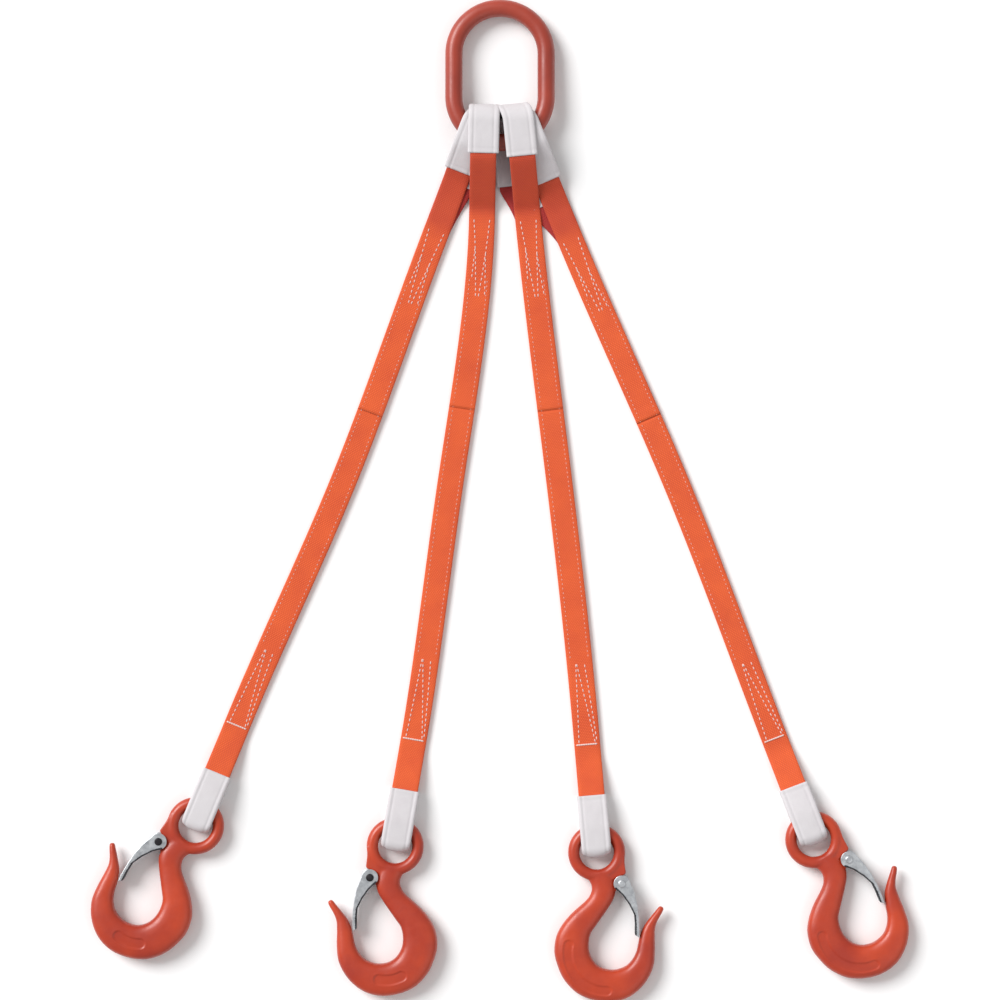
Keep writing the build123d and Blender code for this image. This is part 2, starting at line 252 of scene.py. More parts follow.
class Belt:
    """Centreline of a sewn belt in the table plane, from upper to lower fold."""

    def __init__(self, leg):
        a = joint_point(f"leg_{leg}_upper_fold")
        c = joint_point(f"leg_{leg}_lower_fold")
        b = Vector((*BELT_MIDDLE[leg], 0)) * MM
        self.points = [Vector((p.x, p.y, 0)) for p in (a, b, c)]
        first = (self.points[1] - self.points[0]).length
        second = (self.points[2] - self.points[1]).length
        start, end = upper_heading(leg), lower_heading(leg)
        pull = (self.points[1] - self.points[0]) * 3 / first**2
        pull += (self.points[2] - self.points[1]) * 3 / second**2
        middle = (pull - start / first - end / second) / (2 / first + 2 / second)
        self.slopes = [start, middle, end]
        self.spans = (first, second)
        self.length = first + second

    def at(self, s):
        """Point and direction at a distance in metres from the upper fold."""
        k = 0 if s < self.spans[0] else 1
        h = self.spans[k]
        t = (s - (self.spans[0] if k else 0)) / h
        p0, p1 = self.points[k : k + 2]
        m0, m1 = self.slopes[k] * h, self.slopes[k + 1] * h
        place = p0 * (2 * t**3 - 3 * t**2 + 1) + m0 * (t**3 - 2 * t**2 + t)
        place += p1 * (3 * t**2 - 2 * t**3) + m1 * (t**3 - t**2)
        slope = p0 * (6 * t**2 - 6 * t) + m0 * (3 * t**2 - 4 * t + 1)
        slope += p1 * (6 * t - 6 * t**2) + m1 * (3 * t**2 - 2 * t)
        return place, slope.normalized()


def run_points(run):
    """Even samples of an open polyline (mm), its corners eased."""
    samples = []
    for (x0, y0), (x1, y1) in zip(run, run[1:]):
        steps = max(1, ceil(hypot(x1 - x0, y1 - y0) / STEP))
        for i in range(steps):
            samples.append((x0 + (x1 - x0) * i / steps, y0 + (y1 - y0) * i / steps))
    samples.append(run[-1])
    heights = [y for _, y in samples]
    for _ in range(CORNER_EASE):
        eased = heights[:]
        for i in range(1, len(heights) - 1):
            eased[i] = (heights[i - 1] + 2 * heights[i] + heights[i + 1]) / 4
        heights = eased
    return [(x, y) for (x, _), y in zip(samples, heights)]


def eye_side(lower, upper, end):
    """Side view of an eye in mm: out along the lower run, round the end and back above it."""
    half = (upper[-1][1] - lower[-1][1]) / 2
    middle = (upper[-1][1] + lower[-1][1]) / 2
    turn = end - half - SLEEVED_T / 2
    out = run_points([(0, WEB_T / 2)] + lower + [(turn, lower[-1][1])])
    back = run_points([(0, 1.5 * WEB_T)] + upper + [(turn, upper[-1][1])])
    steps = ceil(pi * half / STEP)
    arc = []
    for i in range(1, steps):
        a = -pi / 2 + pi * i / steps
        arc.append((turn + half * cos(a), middle + half * sin(a)))
    return out, arc, back[::-1]


def upper_eye_side(leg):
    """Side view of an upper eye; places along its runs are distances from the fold."""
    inner = leg in INNER_EYES
    half = (INNER_HALF if inner else OUTER_HALF) + SLEEVED_T / 2
    low, high = BUNDLE_Z - half, BUNDLE_Z + half
    flat, top = WEB_T / 2, 1.5 * WEB_T
    if inner:
        lower = [(26, flat), (56, low)]
        upper = [(30, top), (50, 7.6), (UPPER_EYE[leg] - 34, high)]
    else:
        lower = [(18, flat), (24, low)]
        upper = [(8, top), (54, high)]
    return eye_side(lower, upper, UPPER_EYE[leg])


def lower_eye_side():
    half = LOWER_HALF + SLEEVED_T / 2
    lower = [(12, WEB_T / 2), (20, HOOK_Z - half)]
    upper = [(10, 1.5 * WEB_T), (76.5, HOOK_Z + half)]
    return eye_side(lower, upper, LOWER_EYE_END)


def in_space(side_points, origin, along):
    """Points of a side view placed on the table along a heading."""
    return [origin + along * (s * MM) + UP * (z * MM) for s, z in side_points]


# ---- materials ---------------------------------------------------------------------------
# scales of the noises, in cycles per metre: cloth, then enamel, then metal, thread and floor
WAVER, FIBRE, DYE, SOIL = 90.0, 2600.0, 35.0, 11.0
PEEL, FORGING, CLOUD, RUB, CHIP, POLISH = 420.0, 60.0, 22.0, 260.0, 520.0, 130.0
PATCH, PITTING = 160.0, 900.0
TWIST, FLOOR_CLOUD = 900.0, 3.0
STEEL = 0.85  # how metallic the plated and bare steel is


class Shader:
    """Short names for building one node material."""

    def __init__(self, name):
        self.material = bpy.data.materials.new(name)
        self.material.use_nodes = True
        self.tree = self.material.node_tree
        self.tree.nodes.clear()

    def node(self, kind, inputs=None, **settings):
        made = self.tree.nodes.new("ShaderNode" + kind)
        for key, value in settings.items():
            setattr(made, key, value)
        for key, value in (inputs or {}).items():
            if isinstance(value, bpy.types.NodeSocket):
                self.tree.links.new(value, made.inputs[key])
            else:
                made.inputs[key].default_value = value
        return made

    def math(self, operation, a, b=0.0):
        return self.node("Math", {0: a, 1: b}, operation=operation).outputs[0]

    def noise(self, place, scale, detail=3.0, rough=0.55):
        inputs = {"Vector": place, "Scale": scale, "Detail": detail, "Roughness": rough}
        return self.node("TexNoise", inputs).outputs["Fac"]

    def spread(self, value, low, high, to_low, to_high):
        """Maps low..high to to_low..to_high, clamped."""
        made = self.node("MapRange", {0: value, 1: low, 2: high, 3: to_low, 4: to_high})
        return made.outputs[0]

    def mix(self, factor, a, b):
        made = self.node("Mix", data_type="RGBA")
        for socket, value in ((made.inputs[0], factor), (made.inputs[6], a), (made.inputs[7], b)):
            if isinstance(value, bpy.types.NodeSocket):
                self.tree.links.new(value, socket)
            else:
                socket.default_value = value
        return made.outputs[2]

    def bump(self, height, strength, distance):
        made = self.node("Bump", {"Height": height, "Strength": strength, "Distance": distance})
        return made.outputs[0]

    def finish(self, **inputs):
        surface = self.node("BsdfPrincipled", {k.replace("_", " "): v for k, v in inputs.items()})
        output = self.node("OutputMaterial")
        self.tree.links.new(surface.outputs[0], output.inputs[0])
        return self.material


def colour(r, g, b):
    return (r, g, b, 1.0)


def woven(name, light, dark, rib, pick, grime, bump_mm, rough, sheen, painted_shade_colour=None):
    """Woven band. Its UV map is in metres, round the band and along it.

    The weave repeats every rib mm across and pick mm along; its valleys are painted darker as
    painted shade, and random blotches of dye vary the colour too. Soiled patches turn to grime,
    and points with the painted-shade attribute turn to the painted shade colour, which stands in
    for the shade under and on the plies of the upper eyes.
    """
    s = Shader(name)
    uv = s.node("UVMap", uv_map="weave").outputs[0]
    parts = s.node("SeparateXYZ", {0: uv})
    place = s.node("TexCoord").outputs["Object"]
    wobble = s.spread(s.noise(place, WAVER), 0.0, 1.0, -0.35, 0.35)
    across = s.math("ADD", s.math("MULTIPLY", parts.outputs[0], 2 * pi / (rib * MM)), wobble)
    along = s.math("ADD", s.math("MULTIPLY", parts.outputs[1], 2 * pi / (pick * MM)), wobble)
    ribs = s.math("SINE", across)
    picks = s.math("SINE", along)
    checks = s.math("MULTIPLY", ribs, picks)
    cords = s.math("MULTIPLY", s.math("ABSOLUTE", picks), 0.8)
    height = s.math("ADD", s.math("MULTIPLY", checks, 0.5), cords)
    fibre = s.noise(place, FIBRE, 2.0)
    height = s.math("ADD", height, s.math("MULTIPLY", fibre, 0.5))
    blotch = s.noise(place, DYE, 4.0)
    # colour darker in the weave's valleys, which is painted shade, and in random blotches of dye
    tone = s.math("ADD", s.math("MULTIPLY", height, 0.42), s.math("MULTIPLY", blotch, 0.55))
    body = s.mix(s.spread(tone, 0.15, 0.85, 0.0, 1.0), dark, light)
    soil = s.spread(s.noise(place, SOIL, 5.0, 0.7), 0.5, 0.8, 0.0, 0.25)
    body = s.mix(soil, body, grime)
    # painted shade: points with the attribute darken to a deep red that stands in for the shade
    # inside the upper eyes
    if painted_shade_colour is not None:
        painted_shade_mask = s.node("Attribute", attribute_name="painted_shade").outputs["Fac"]
        body = s.mix(painted_shade_mask, body, painted_shade_colour)
    normal = s.bump(height, 0.7, bump_mm * MM)
    roughness = s.spread(fibre, 0.3, 0.7, rough - 0.08, rough + 0.08)
    return s.finish(
        Base_Color=body, Roughness=roughness, Normal=normal, Sheen_Weight=sheen, Sheen_Roughness=0.5
    )


def enamel(name, main, shade, worn):
    """Baked enamel over a forging: faint orange peel, rubbed high spots and small chips."""
    s = Shader(name)
    place = s.node("TexCoord").outputs["Object"]
    geometry = s.node("NewGeometry")
    peel = s.noise(place, PEEL, 2.0)
    forging = s.noise(place, FORGING, 3.0)
    blotch = s.noise(place, CLOUD, 4.0)
    body = s.mix(s.spread(blotch, 0.3, 0.7, 0.0, 1.0), shade, main)
    edge = s.spread(geometry.outputs["Pointiness"], 0.52, 0.6, 0.0, 1.0)
    rub = s.math("MULTIPLY", edge, s.spread(s.noise(place, RUB, 4.0), 0.45, 0.65, 0.0, 0.6))
    body = s.mix(rub, body, worn)
    chip = s.spread(s.noise(place, CHIP, 2.0), 0.74, 0.77, 0.0, 0.6)
    body = s.mix(chip, body, worn)
    height = s.math("ADD", s.math("MULTIPLY", peel, 0.35), forging)
    rough = s.spread(s.noise(place, POLISH, 4.0), 0.3, 0.7, 0.34, 0.5)
    normal = s.bump(height, 0.35, 0.5 * MM)
    return s.finish(
        Base_Color=body, Roughness=rough, Normal=normal, Coat_Weight=0.18, Coat_Roughness=0.28
    )


def metal(name, light, dark, grain, dullness, bump_mm):
    """Bare or plated steel with a fine grain; its roughness varies between two values.
    Also makes the near-black painted shadow on the latch's rim and painted shade on the pin's head.
    """
    s = Shader(name)
    place = s.node("TexCoord").outputs["Object"]
    cells = s.node("TexVoronoi", {"Vector": place, "Scale": grain}).outputs["Color"]
    patch = s.noise(place, PATCH, 4.0)
    tone = s.math("ADD", s.math("MULTIPLY", cells, 0.35), s.math("MULTIPLY", patch, 0.8))
    body = s.mix(s.spread(tone, 0.3, 0.9, 0.0, 1.0), dark, light)
    rough = s.spread(patch, 0.3, 0.7, *dullness)
    normal = s.bump(s.noise(place, PITTING, 3.0), 0.3, bump_mm * MM)
    return s.finish(Base_Color=body, Roughness=rough, Metallic=STEEL, Normal=normal)


def thread_material():
    """White twisted thread, tinted by the webbing that shows between its strands."""
    s = Shader("thread")
    place = s.node("TexCoord").outputs["Object"]
    waves = {"Vector": place, "Scale": TWIST, "Distortion": 2.0}
    twist = s.node("TexWave", waves, bands_direction="DIAGONAL")
    body = s.mix(twist.outputs["Fac"], colour(0.7, 0.42, 0.37), colour(0.86, 0.74, 0.71))
    normal = s.bump(twist.outputs["Fac"], 0.5, 0.15 * MM)
    return s.finish(Base_Color=body, Roughness=0.7, Normal=normal, Sheen_Weight=0.3)


def floor_material():
    s = Shader("floor")
    place = s.node("TexCoord").outputs["Object"]
    body = s.mix(s.noise(place, FLOOR_CLOUD), colour(0.93, 0.93, 0.93), colour(0.96, 0.96, 0.96))
    return s.finish(Base_Color=body, Roughness=0.9)


WEB = woven(
    "webbing",
    light=colour(0.84, 0.125, 0.02),
    dark=colour(0.52, 0.042, 0.012),
    rib=2.2,
    pick=3.0,
    grime=colour(0.5, 0.05, 0.015),
    bump_mm=0.35,
    rough=0.7,
    sheen=0.08,
    # painted shade colour for the plies of the upper eyes
    painted_shade_colour=colour(0.36, 0.015, 0.012),
)
SLEEVE = woven(
    "sleeve",
    light=colour(0.7, 0.675, 0.69),
    dark=colour(0.58, 0.545, 0.565),
    rib=1.3,
    pick=1.3,
    grime=colour(0.5, 0.42, 0.45),
    bump_mm=0.18,
    rough=0.82,
    sheen=0.2,
)
HOOK_PAINT = enamel(
    "hook_enamel",
    main=colour(0.52, 0.048, 0.009),
    shade=colour(0.36, 0.026, 0.008),
    worn=colour(0.3, 0.04, 0.03),
)
LINK_PAINT = enamel(
    "link_enamel",
    main=colour(0.40, 0.05, 0.025),
    shade=colour(0.29, 0.032, 0.017),
    worn=colour(0.24, 0.04, 0.03),
)
ZINC = metal(
    "zinc",
    light=colour(0.72, 0.74, 0.76),
    dark=colour(0.45, 0.47, 0.5),
    grain=420.0,
    dullness=(0.28, 0.45),
    bump_mm=0.1,
)
# near-black painted shadow on the latch's rolled inner rim, where the channel's inside lies in
# shade
LATCH_RIM_SHADOW = metal(
    "latch_rim_shadow",
    light=colour(0.1, 0.1, 0.11),
    dark=colour(0.03, 0.03, 0.035),
    grain=420.0,
    dullness=(0.35, 0.5),
    bump_mm=0.1,
)
# near-black front head of the pin: painted shade standing in for the dark pin hole
PIN_HOLE_SHADE = metal(
    "pin_steel",
    light=colour(0.05, 0.045, 0.05),
    dark=colour(0.015, 0.014, 0.016),
    grain=300.0,
    dullness=(0.4, 0.6),
    bump_mm=0.15,
)
SPRING_STEEL = metal(
    "spring_steel",
    light=colour(0.5, 0.5, 0.5),
    dark=colour(0.25, 0.25, 0.26),
    grain=500.0,
    dullness=(0.25, 0.4),
    bump_mm=0.1,
)
THREAD = thread_material()
FLOOR = floor_material()


# ---- webbing -----------------------------------------------------------------------------
LAP_AT = 0.365  # share of the belt's length where the two lengths of web are lapped
LAP_LIFT, LAP_ROWS = 0.35, 4  # how far the upper web's last rows are raised, and their number
END_ROUND, END_ROUND_RUN, END_POWER = 4.0, 16.0, 2.5  # pull at an eye's corners, where it starts
WEB_CORNER, PLY_GAP = 1.0, 0.04
BACK_SHADE, TOP_SHADE = 1.0, 0.5  # painted shade inside the upper eyes: under ply, upper ply
SHADE_LEAD, SHADE_EASE = 3, 24  # rows it starts before the fold, and passes that ease it


def belt_rows(belt, start, end, height):
    """Points and across vectors along a belt between two distances, at one height."""
    steps = ceil(abs(end - start) / (2 * STEP * MM))
    points, across = [], []
    for i in range(steps + 1):
        place, direction = belt.at(start + (end - start) * i / steps)
        points.append(place + UP * height)
        across.append(direction.cross(UP))
    return points, across


def drift_left(i, count):
    """Share of the back ply's drift left at a row of the round end."""
    t = (i + 1) / (count + 1)
    return 1 - t * t * (3 - 2 * t)


def round_end(verts, origin, heading, far):
    """Pulls the corners of an eye's round end back towards the fold."""
    side = heading.cross(UP)
    for vert in verts:
        s = (vert.co - origin).dot(heading) / MM
        lateral = abs((vert.co - origin).dot(side)) / MM
        t = min(max((s - far + END_ROUND_RUN) / END_ROUND_RUN, 0), 1)
        vert.co -= heading * (END_ROUND * t * min(lateral / (SLEEVE_W / 2), 1) ** END_POWER) * MM


def shade_rows(mesh, shades, around):
    """Stores the rows' shades, eased along the web, at the points of the mesh."""
    last = len(shades) - 1
    for _ in range(SHADE_EASE):
        shades = [
            (shades[max(i - 1, 0)] + 2 * shades[i] + shades[min(i + 1, last)]) / 4
            for i in range(len(shades))
        ]
    values = [shades[v // around] for v in range(around * len(shades))]
    mesh.attributes.new("painted_shade", "FLOAT", "POINT").data.foreach_set("value", values)


def make_web(name, belt, fold_s, lap_s, eye, heading, eye_shift):
    """One web: from the lap along the lower ply, round an eye and back along the upper ply."""
    origin, _ = belt.at(fold_s)
    out, arc, back = eye
    upper = fold_s == 0
    low_points, low_across = belt_rows(belt, lap_s, fold_s, WEB_T / 2 * MM)
    top_points, top_across = belt_rows(belt, fold_s, lap_s, 1.5 * WEB_T * MM)
    eye_points = in_space(out[1:] + arc + back[:-1], origin, heading)
    side = (-heading if upper else heading).cross(UP)
    count = len(out) - 1
    drift = heading.cross(UP) * MM
    for i in range(count):
        eye_points[i] += drift * eye_shift(out[i + 1][0])
    for i in range(len(arc)):
        eye_points[count + i] += drift * eye_shift(out[-1][0]) * drift_left(i, len(arc))
    points = low_points + eye_points + top_points
    across = low_across + [side] * len(eye_points) + top_across
    if upper:
        for i in range(LAP_ROWS):
            points[-1 - i] += UP * LAP_LIFT * MM
    bm = bmesh.new()
    uv = bm.loops.layers.uv.new("weave")
    outline = flat_outline(WEB_W, WEB_T - PLY_GAP, WEB_CORNER)
    cap(bm, sweep(bm, frames_along(points, across), outline, uv, path_lengths(points)))
    face_out(bm)
    if not upper:
        round_end(bm.verts, origin, heading, arc[len(arc) // 2][0])
    mesh = as_mesh(bm, name, WEB)
    # painted shade: the under ply of each upper eye gets the full painted shade colour, its upper
    # ply half of it
    shades = [0.0] * len(points)
    if upper:
        fold = len(low_points)
        shades[fold - SHADE_LEAD : fold + count] = [BACK_SHADE] * (SHADE_LEAD + count)
        shades[fold + count : fold + len(eye_points)] = [TOP_SHADE] * (len(eye_points) - count)
    shade_rows(mesh, shades, len(outline))
    web = new_object(name, mesh)
    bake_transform(web)
    return web


# ---- sleeves -----------------------------------------------------------------------------
SLEEVE_SEAM, SLEEVE_HEM = 9.6, 4.5  # seam from the centreline, hem stitching from the mouth
UPPER_COVER_W = 29.8
SLEEVE_CORNER, SLEEVE_BELLY, SLEEVE_STEPS = 1.5, 0.5, 28
ROOM_W, ROOM_T = 0.8, 0.3  # room round the web inside the sleeve
CREASES, FINE_CREASES = (55, 0.30), (170, 0.12)  # noise scale and height
SEAM_GROOVE, HEM_GROOVE = (0.45, 0.8), (0.4, 0.9)  # depth and width
SEAM_FOLD, SEAM_FOLD_AT = (0.2, 1.0), 2.0  # height and width; distance outside the seam


def soft_line(distance, size):
    """Height of a soft-edged line at a distance from its middle."""
    height, width = size
    return height * exp(-((distance / width) ** 2))


def make_sleeve(name, node, eye, origin, heading, mouths, body, seed, eye_shift):
    """Thin cloth tube over the web of an eye, open at both ends.

    mouths are the distances from the fold where its under and upper sides start.
    """
    out, arc, back = eye
    kept_out = [p for p in out if p[0] >= mouths[0]]
    kept_back = [p for p in back if p[0] >= mouths[1]]
    side_points = kept_out + arc + kept_back
    points = in_space(side_points, origin, heading)
    side = heading.cross(UP)
    for i, (s, _) in enumerate(kept_out):
        points[i] += side * eye_shift(s) * MM
    for i in range(len(arc)):
        points[len(kept_out) + i] += side * eye_shift(out[-1][0]) * drift_left(i, len(arc)) * MM
    rows = frames_along(points, [side] * len(points))
    lengths = path_lengths(points)
    bm = bmesh.new()
    uv = bm.loops.layers.uv.new("weave")
    wide = UPPER_COVER_W if body == "eye_bundle" else SLEEVE_W
    outer = flat_outline(wide, SLEEVED_T, SLEEVE_CORNER, belly=SLEEVE_BELLY, steps=SLEEVE_STEPS)
    inner = flat_outline(WEB_W + ROOM_W, WEB_T + ROOM_T, WEB_CORNER, steps=SLEEVE_STEPS)
    outer_rings = sweep(bm, rows, outer, uv, lengths)
    inner_rings = sweep(bm, rows, inner, uv, lengths, flip=True)
    count = len(outer)
    for end in (0, -1):
        for k in range(count):
            n = (k + 1) % count
            cloth, lining = outer_rings[end], inner_rings[end]
            corners = [cloth[k], cloth[n], lining[n], lining[k]]
            bm.faces.new(corners if end else corners[::-1])
    face_out(bm)
    for ring, (point, across, up) in zip(outer_rings, rows):
        for vert in ring:
            away = vert.co - point
            rise = noise.noise(vert.co * CREASES[0] + Vector((seed, 0, 0))) * CREASES[1]
            rise += (
                noise.noise(vert.co * FINE_CREASES[0] + Vector((0, seed, 0))) * FINE_CREASES[1]
            )
            past_seam = abs(away.dot(across)) / MM - SLEEVE_SEAM
            rise -= soft_line(past_seam, SEAM_GROOVE)
            rise += soft_line(past_seam - SEAM_FOLD_AT, SEAM_FOLD)
            mouth = min((point - rows[0][0]).length, (point - rows[-1][0]).length) / MM
            rise -= soft_line(mouth - SLEEVE_HEM, HEM_GROOVE)
            vert.co += (up * (1 if away.dot(up) > 0 else -1)) * rise * MM
    if body != "eye_bundle":
        round_end(bm.verts, origin, heading, max(side_points)[0])
    sleeve = new_object(name, as_mesh(bm, name, SLEEVE))
    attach(sleeve, body)
    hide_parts(node)


# ---- thread ------------------------------------------------------------------------------
# pitch and length of the stitches and radius of the thread
SEWN = (5.0, 2.9, 0.5)
EDGE_SEWN = (4.4, 1.7, 0.26)
BAR_SEWN = (2.3, 2.7, 0.8)
STITCH_RINGS, STITCH_SIDES = 5, 8
STITCH_ARCH, STITCH_SUNK, STITCH_TAPER = 0.35, 0.3, 0.55


def add_stitch(bm, start, end, up, thick):
    """A short arched stitch that dips into the cloth at both ends."""
    run = end - start
    side = run.cross(up).normalized()
    rings = []
    for i in range(STITCH_RINGS):
        t = i / (STITCH_RINGS - 1)
        at_end = i in (0, STITCH_RINGS - 1)
        lift = 0.0 if at_end else (4 * t * (1 - t)) ** 0.5
        radius = thick * (STITCH_TAPER if at_end else 1.0) * MM
        centre = start + run * t + up * (lift * STITCH_ARCH - STITCH_SUNK) * MM
        ring = []
        for k in range(STITCH_SIDES):
            a = 2 * pi * k / STITCH_SIDES
            ring.append(bm.verts.new(centre + side * cos(a) * radius + up * sin(a) * radius))
        rings.append(ring)
    skin(bm, rings)
    cap(bm, rings)


def stitch_row(bm, place, start, end, sewn=SEWN):
    """Stitches along a straight row between two (along, across) places in mm."""
    pitch, length, thick = sewn
    run, slant = end[0] - start[0], end[1] - start[1]
    reach = hypot(run, slant)
    count = max(1, round(reach / pitch))
    for i in range(count):
        low = (i + 0.5) / count - length / reach / 2
        high = low + length / reach
        ends = [place(start[0] + run * t, start[1] + slant * t) for t in (low, high)]
        add_stitch(bm, ends[0], ends[1], UP, thick)


# sewing rows on the upper face: distance from the nearer fold, and offset across the belt
LOWER_ROWS = [((2, -7.8), (80, -3.8)), ((2, 8.0), (80, -3.2)), ((4, 9.6), (79, 4.5))]
UPPER_ROWS = [
    ((2, -7.7), (78, -1.2)),
    ((2, 7.7), (78, 1.4)),
    ((30, -5.4), (60, -6.6)),
    ((34, 4.8), (76, 7.4)),
]
BAR_ROW = ((1.2, -10.3), (1.2, 9.4))  # close bar of stitches at the lower fold
EDGE_ROW, EDGE_FROM_UPPER, EDGE_FROM_LOWER = 8.6, 60, 84  # offset, and distances from the folds
THREAD_CLEAR = 0.1  # height of the rows over the web


def make_stitches(leg, belt):
    """All the sewing on one belt, seen on its upper face."""
    bm = bmesh.new()
    full = belt.length / MM

    def place(s, offset):
        point, direction = belt.at(min(max(s * MM, 0), belt.length))
        return point + UP.cross(direction) * offset * MM + UP * (2 * WEB_T + THREAD_CLEAR) * MM

    for start, end in UPPER_ROWS:
        stitch_row(bm, place, start, end)
    for (start, end), sewn in [(row, SEWN) for row in LOWER_ROWS] + [(BAR_ROW, BAR_SEWN)]:
        stitch_row(bm, place, (full - start[0], start[1]), (full - end[0], end[1]), sewn)
    for offset in (-EDGE_ROW, EDGE_ROW):
        start, end = (EDGE_FROM_UPPER, offset), (full - EDGE_FROM_LOWER, offset)
        stitch_row(bm, place, start, end, EDGE_SEWN)
    name = f"leg_{leg}_stitches"
    stitches = new_object(name, as_mesh(bm, name, THREAD))
    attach(stitches, f"belt_{leg}")
    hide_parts(f"leg_{leg}_seam_thread")


# ---- hooks -------------------------------------------------------------------------------
BODY_EVEN, LATCH_EVEN = (0.9, 8), (0.4, 3)  # voxel size and passes of easing
STATION_STEPS, SECTION_SIDES = 4, 28
TIP_ROWS = ((0.8, 0.86), (1.4, 0.6), (1.7, 0.3))  # beyond the last station: distance, share
RING_STEPS, BAR_STEPS = 72, 24
LUG_STEPS = 14


def hook_matrix(leg):
    """From the hook's own axes (ring centre at the origin) to its place on the table."""
    ring = joint_point(f"hook_{leg}_swivel")
    pin = joint_point(f"hook_{leg}_latch_hinge")
    over = leg in TURNED_OVER
    local = atan2(PIN_AT[1], PIN_AT[0] * (-1 if over else 1))
    turn = atan2(pin.y - ring.y, pin.x - ring.x) - local
    flip = Matrix.Rotation(pi if over else 0, 4, "Y")
    return Matrix.Translation(ring) @ Matrix.Rotation(turn, 4, "Z") @ flip


def evened(mesh, name, even):
    """The outer skin of overlapping closed shells as fine even faces with eased edges."""
    voxel, passes = even
    made = new_object(name, mesh)
    remesh = made.modifiers.new("remesh", "REMESH")
    remesh.mode = "VOXEL"
    remesh.voxel_size = voxel * MM
    ease = made.modifiers.new("ease", "SMOOTH")
    ease.factor = 0.5
    ease.iterations = passes
    bpy.context.view_layer.update()
    evaluated = made.evaluated_get(bpy.context.evaluated_depsgraph_get())
    final = bpy.data.meshes.new_from_object(evaluated)
    bpy.data.objects.remove(made)
    smooth_faces(final)
    return final


def between(a, b, c, d, t):
    """Catmull-Rom value between b and c."""
    straight = (c - a) * t / 2
    bent = (2 * a - 5 * b + 4 * c - d) * t * t / 2
    twisted = (3 * b - a - 3 * c + d) * t**3 / 2
    return b + straight + bent + twisted


def flowing_stations(steps):
    """The hook's stations with smooth rows between them."""
    rows = [(*inner, *outer, thick, square) for inner, outer, thick, square in STATIONS]
    rows = [rows[0]] + rows + [rows[-1]]
    flowing = []
    for k in range(1, len(rows) - 2):
        for i in range(steps):
            quad = rows[k - 1 : k + 3]
            flowing.append([between(*values, i / steps) for values in zip(*quad)])
    flowing.append(list(rows[-1]))
    return flowing


def prism(bm, outline, half):
    """Closed slab of an outline (mm), half mm thick to either side of z = 0."""
    low = [bm.verts.new((x * MM, y * MM, -half * MM)) for x, y in outline]
    high = [bm.verts.new((x * MM, y * MM, half * MM)) for x, y in outline]
    count = len(outline)
    for k in range(count):
        n = (k + 1) % count
        bm.faces.new([low[k], low[n], high[n], high[k]])
    bm.faces.new(low[::-1])
    bm.faces.new(high)


def add_hook_bar(bm):
    """Shank, bowl and tip: a squarish section that follows the stations."""
    rows = flowing_stations(STATION_STEPS)
    x0, y0, x1, y1, thick, square = rows[-1]
    middle = Vector(((x0 + x1) / 2, (y0 + y1) / 2))
    half = Vector(((x1 - x0) / 2, (y1 - y0) / 2))
    for ahead, share in TIP_ROWS:
        tip = middle + Vector((half.y, -half.x)).normalized() * ahead
        low, high = tip - half * share, tip + half * share
        rows.append([low.x, low.y, high.x, high.y, thick * share, square])
    rings = []
    for x0, y0, x1, y1, thick, square in rows:
        middle = Vector(((x0 + x1) / 2, (y0 + y1) / 2, 0))
        half = Vector(((x1 - x0) / 2, (y1 - y0) / 2, 0))
        ring = []
        for k in range(SECTION_SIDES):
            c, d = cos(2 * pi * k / SECTION_SIDES), sin(2 * pi * k / SECTION_SIDES)
            wide = abs(c) ** (2 / square) * (1 if c > 0 else -1)
            high = abs(d) ** (2 / square) * (1 if d > 0 else -1) * thick / 2
            ring.append(bm.verts.new((middle + half * wide + UP * high) * MM))
        rings.append(ring)
    skin(bm, rings)
    cap(bm, rings)


def add_hook_ring(bm):
    """The round eye that the lower eye of the belt passes through."""
    loops = []
    for i in range(RING_STEPS):
        a = 2 * pi * i / RING_STEPS
        loop = []
        for k in range(BAR_STEPS):
            b = 2 * pi * k / BAR_STEPS
            reach, high = RING_R + RING_BAR / 2 * cos(b), RING_BAR / 2 * sin(b)
            loop.append(bm.verts.new(Vector((reach * cos(a), reach * sin(a), high)) * MM))
        loops.append(loop)
    for i in range(RING_STEPS):
        a, b = loops[i], loops[(i + 1) % RING_STEPS]
        for k in range(BAR_STEPS):
            n = (k + 1) % BAR_STEPS
            bm.faces.new([a[k], b[k], b[n], a[n]])


def lug_outline():
    """Round end about the latch's pin, running into the shank."""
    x, y = PIN_AT
    outline = []
    for k in range(LUG_STEPS + 1):
        a = radians(90 + 180 * k / LUG_STEPS)
        outline.append((x + LUG_R * cos(a), y + LUG_R * sin(a)))
    return outline + [(x + 10, y - LUG_R), (x + 10, y + 9), (x - 4, y + 9)]


def hook_shells():
    """The whole forging as overlapping closed shells."""
    bm = bmesh.new()
    add_hook_bar(bm)
    add_hook_ring(bm)
    prism(bm, LOBE, LOBE_T / 2)
    prism(bm, lug_outline(), LUG_T / 2)
    face_out(bm)
    return as_mesh(bm, "hook_shells")


PANEL_FACING = 0.7  # faces of the bowl that look this much up or down carry the panel
PANEL_WALL = 1.2
LIP_AT, LIP_W, LIP_H = 0.7, 0.9, 0.22  # raised lip: distance outside the panel, width, height


